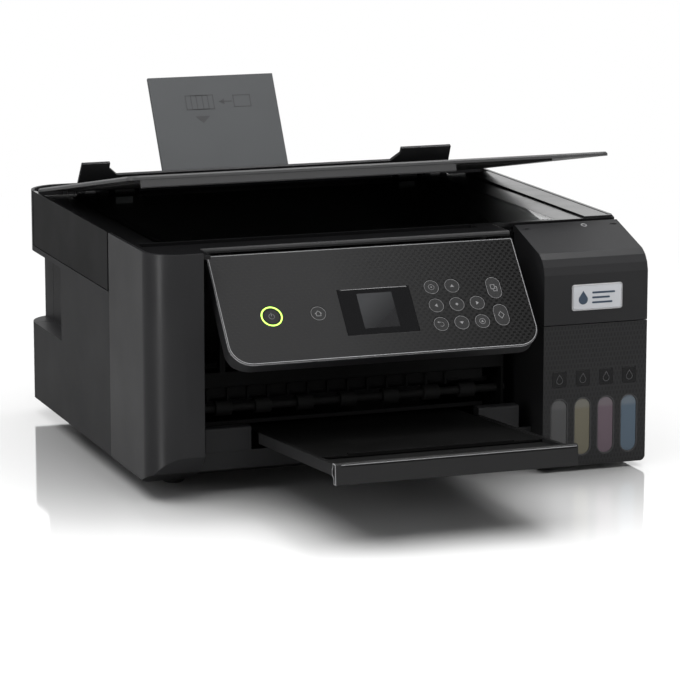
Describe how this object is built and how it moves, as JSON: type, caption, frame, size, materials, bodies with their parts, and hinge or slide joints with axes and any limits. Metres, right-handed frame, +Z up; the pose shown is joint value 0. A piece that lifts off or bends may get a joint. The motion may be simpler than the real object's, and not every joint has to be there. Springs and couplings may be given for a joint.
{
  "type": "inkjet printer",
  "caption": "Desktop inkjet printer with a flatbed scanner, refillable side ink tanks, tilting control panel, rear paper feed and a pull-out front tray.",
  "frame": {"origin": "on the desk, under the middle of the whole object as it stands open and ready to print", "axes": "+X to the right as seen from the front, +Y from the front to the back, +Z up"},
  "size_m": [0.375, 0.5498, 0.2518],
  "materials": {
    "case_black": "fine-textured black",
    "gloss_black": "polished black",
    "deck_black": "semi-gloss black",
    "dark_moulding": "satin dark grey",
    "panel_grey": "brushed dark grey",
    "display": "polished",
    "key_black": "satin",
    "tray_black": "satin black",
    "foam_dark": "soft dark foam sheet",
    "clear_glass": "clear float glass",
    "steel": "zinc-plated",
    "belt_rubber": "matt",
    "roller_rubber": "matt",
    "foot_rubber": "matt",
    "white_plastic": "satin",
    "circuit_board": "solder mask",
    "tube_clear": "translucent",
    "tank_black": "translucent tank with ink",
    "cap_black": "satin",
    "tank_yellow": "translucent tank with ink",
    "cap_yellow": "satin",
    "tank_magenta": "translucent tank with ink",
    "cap_magenta": "satin",
    "tank_cyan": "translucent tank with ink",
    "cap_cyan": "satin"
  },
  "bodies": {
    "body": {"lower_case": "case_black", "rear_cover": "case_black", "left_front_column": "case_black", "rubber_feet": "foot_rubber", "hinge_rods": "steel", "tank_case": "case_black", "feed_hopper": "dark_moulding", "print_chassis": "steel", "platen": "tray_black", "drive_motors": "steel", "carriage_belt": "belt_rubber", "star_wheel_bar": "dark_moulding", "maintenance_station": "white_plastic", "main_board": "circuit_board", "power_supply": "dark_moulding", "ink_tubes": "tube_clear", "ink_tank_black": "tank_black", "ink_tank_yellow": "tank_yellow", "ink_tank_magenta": "tank_magenta", "ink_tank_cyan": "tank_cyan"},
    "scanner_unit": {"scanner_housing": "deck_black", "scanner_glass": "clear_glass", "scanner_rods": "steel"},
    "lid": {"document_lid": "gloss_black", "lid_mat": "foam_dark"},
    "scan_carriage": {"scan_bar": "dark_moulding"},
    "control_panel": {"panel_housing": "dark_moulding", "panel_face": "panel_grey", "lcd_module": "display"},
    "ink_cover": {"tank_cover": "gloss_black"},
    "tray": {"output_tray": "tray_black"},
    "tray_front": {"tray_extension": "tray_black"},
    "support": {"paper_support": "dark_moulding"},
    "support_top": {"support_extension": "dark_moulding"},
    "guard": {"feeder_guard": "dark_moulding"},
    "guide_left": {"edge_guide_left": "dark_moulding"},
    "guide_right": {"edge_guide_right": "dark_moulding"},
    "guide_gear": {"guide_pinion": "white_plastic"},
    "carriage": {"ink_carriage": "dark_moulding"},
    "belt_pulley": {"carriage_pulley": "white_plastic"},
    "feed_shaft": {"feed_roller": "roller_rubber"},
    "feed_motor_shaft": {"motor_pinion": "white_plastic"},
    "exit_shaft": {"exit_roller": "roller_rubber"},
    "pickup_shaft": {"pickup_roller": "roller_rubber"},
    "cap_black": {"ink_cap_black": "cap_black"},
    "cap_yellow": {"ink_cap_yellow": "cap_yellow"},
    "cap_magenta": {"ink_cap_magenta": "cap_magenta"},
    "cap_cyan": {"ink_cap_cyan": "cap_cyan"},
    "button_power": {"key_power": "key_black"},
    "button_home": {"key_home": "key_black"},
    "button_help": {"key_help": "key_black"},
    "button_up": {"key_up": "key_black"},
    "button_left": {"key_left": "key_black"},
    "button_ok": {"key_ok": "key_black"},
    "button_right": {"key_right": "key_black"},
    "button_back": {"key_back": "key_black"},
    "button_down": {"key_down": "key_black"},
    "button_stop": {"key_stop": "key_black"},
    "button_copy": {"key_copy": "key_black"},
    "button_start": {"key_start": "key_black"}
  },
  "joints": [
    {"name": "scanner_lift", "type": "hinge", "parent": "body", "child": "scanner_unit", "pos_m": [0, 0.19762, 0.172], "axis": [-1, 0, 0], "range_deg": [0, 20]},
    {"name": "lid_hinge", "type": "hinge", "parent": "scanner_unit", "child": "lid", "pos_m": [0, 0.19202, 0.174], "axis": [-1, 0, 0], "range_deg": [-10.1, 45]},
    {"name": "scan_slide", "type": "slide", "parent": "scanner_unit", "child": "scan_carriage", "axis": [1, 0, 0], "range_m": [0, 0.276]},
    {"name": "panel_tilt", "type": "hinge", "parent": "body", "child": "control_panel", "pos_m": [-0.0255, -0.08618, 0.1682], "axis": [-1, 0, 0], "range_deg": [-40.8, 4]},
    {"name": "press_power", "type": "slide", "parent": "control_panel", "child": "button_power", "axis": [0, 0.757, -0.6534], "range_m": [0, 0.0006], "stiffness_N_per_m": 600, "springref_m": -0.0006},
    {"name": "press_home", "type": "slide", "parent": "control_panel", "child": "button_home", "axis": [0, 0.757, -0.6534], "range_m": [0, 0.0006], "stiffness_N_per_m": 600, "springref_m": -0.0006},
    {"name": "press_help", "type": "slide", "parent": "control_panel", "child": "button_help", "axis": [0, 0.757, -0.6534], "range_m": [0, 0.0006], "stiffness_N_per_m": 600, "springref_m": -0.0006},
    {"name": "press_up", "type": "slide", "parent": "control_panel", "child": "button_up", "axis": [0, 0.757, -0.6534], "range_m": [0, 0.0006], "stiffness_N_per_m": 600, "springref_m": -0.0006},
    {"name": "press_left", "type": "slide", "parent": "control_panel", "child": "button_left", "axis": [0, 0.757, -0.6534], "range_m": [0, 0.0006], "stiffness_N_per_m": 600, "springref_m": -0.0006},
    {"name": "press_ok", "type": "slide", "parent": "control_panel", "child": "button_ok", "axis": [0, 0.757, -0.6534], "range_m": [0, 0.0006], "stiffness_N_per_m": 600, "springref_m": -0.0006},
    {"name": "press_right", "type": "slide", "parent": "control_panel", "child": "button_right", "axis": [0, 0.757, -0.6534], "range_m": [0, 0.0006], "stiffness_N_per_m": 600, "springref_m": -0.0006},
    {"name": "press_back", "type": "slide", "parent": "control_panel", "child": "button_back", "axis": [0, 0.757, -0.6534], "range_m": [0, 0.0006], "stiffness_N_per_m": 600, "springref_m": -0.0006},
    {"name": "press_down", "type": "slide", "parent": "control_panel", "child": "button_down", "axis": [0, 0.757, -0.6534], "range_m": [0, 0.0006], "stiffness_N_per_m": 600, "springref_m": -0.0006},
    {"name": "press_stop", "type": "slide", "parent": "control_panel", "child": "button_stop", "axis": [0, 0.757, -0.6534], "range_m": [0, 0.0006], "stiffness_N_per_m": 600, "springref_m": -0.0006},
    {"name": "press_copy", "type": "slide", "parent": "control_panel", "child": "button_copy", "axis": [0, 0.757, -0.6534], "range_m": [0, 0.0006], "stiffness_N_per_m": 600, "springref_m": -0.0006},
    {"name": "press_start", "type": "slide", "parent": "control_panel", "child": "button_start", "axis": [0, 0.757, -0.6534], "range_m": [0, 0.0006], "stiffness_N_per_m": 600, "springref_m": -0.0006},
    {"name": "ink_cover_hinge", "type": "hinge", "parent": "body", "child": "ink_cover", "pos_m": [0.1465, -0.06188, 0.1693], "axis": [-1, 0, 0], "range_deg": [0, 80]},
    {"name": "cap_black_hinge", "type": "hinge", "parent": "body", "child": "cap_black", "pos_m": [0.1187, -0.06288, 0.1097], "axis": [-1, 0, 0], "range_deg": [0, 64]},
    {"name": "cap_yellow_hinge", "type": "hinge", "parent": "body", "child": "cap_yellow", "pos_m": [0.1371, -0.06288, 0.1097], "axis": [-1, 0, 0], "range_deg": [0, 64]},
    {"name": "cap_magenta_hinge", "type": "hinge", "parent": "body", "child": "cap_magenta", "pos_m": [0.1555, -0.06288, 0.1097], "axis": [-1, 0, 0], "range_deg": [0, 64]},
    {"name": "cap_cyan_hinge", "type": "hinge", "parent": "body", "child": "cap_cyan", "pos_m": [0.1739, -0.06288, 0.1097], "axis": [-1, 0, 0], "range_deg": [0, 64]},
    {"name": "tray_slide", "type": "slide", "parent": "body", "child": "tray", "axis": [0, 0.9972, -0.0748], "range_m": [0, 0.095]},
    {"name": "tray_front_slide", "type": "slide", "parent": "tray", "child": "tray_front", "axis": [0, 0.9972, -0.0748], "range_m": [0, 0.038]},
    {"name": "support_slide", "type": "slide", "parent": "body", "child": "support", "axis": [0, -0.5, -0.866], "range_m": [0, 0.01]},
    {"name": "support_top_slide", "type": "slide", "parent": "support", "child": "support_top", "axis": [0, -0.5, -0.866], "range_m": [0, 0.078]},
    {"name": "guard_hinge", "type": "hinge", "parent": "body", "child": "guard", "pos_m": [0.0045, 0.21302, 0.172], "axis": [-1, 0, 0], "range_deg": [0, 28]},
    {"name": "guide_left_slide", "type": "slide", "parent": "body", "child": "guide_left", "axis": [1, 0, 0], "range_m": [0, 0.06]},
    {"name": "guide_right_slide", "type": "slide", "parent": "body", "child": "guide_right", "axis": [1, 0, 0], "range_m": [-0.0601, 0.0001]},
    {"name": "guide_gear_spin", "type": "hinge", "parent": "body", "child": "guide_gear", "pos_m": [-0.0205, 0.18562, 0.11138], "axis": [0, -0.866, 0.5], "range_deg": [-440, 5]},
    {"name": "carriage_slide", "type": "slide", "parent": "body", "child": "carriage", "axis": [1, 0, 0], "range_m": [-0.252, 0]},
    {"name": "pulley_spin", "type": "hinge", "parent": "body", "child": "belt_pulley", "pos_m": [0.1665, 0.03162, 0.1], "axis": [0, 1, 0], "continuous": true},
    {"name": "feed_spin", "type": "hinge", "parent": "body", "child": "feed_shaft", "pos_m": [-0.0235, 0.05162, 0.054], "axis": [1, 0, 0], "continuous": true},
    {"name": "feed_motor_spin", "type": "hinge", "parent": "body", "child": "feed_motor_shaft", "pos_m": [-0.1445, 0.08162, 0.054], "axis": [1, 0, 0], "continuous": true},
    {"name": "exit_spin", "type": "hinge", "parent": "body", "child": "exit_shaft", "pos_m": [-0.0235, -0.05438, 0.053], "axis": [1, 0, 0], "continuous": true},
    {"name": "pickup_spin", "type": "hinge", "parent": "body", "child": "pickup_shaft", "pos_m": [-0.0295, 0.14562, 0.098], "axis": [1, 0, 0], "continuous": true}
  ],
  "couplings": [
    {"joint": "guide_right_slide", "follows": "guide_left_slide", "ratio": -1},
    {"joint": "guide_gear_spin", "follows": "guide_left_slide", "rad_per_m": -125},
    {"joint": "pulley_spin", "follows": "carriage_slide", "rad_per_m": 200},
    {"joint": "feed_motor_spin", "follows": "feed_spin", "ratio": -4},
    {"joint": "exit_spin", "follows": "feed_spin", "ratio": 1}
  ]
}
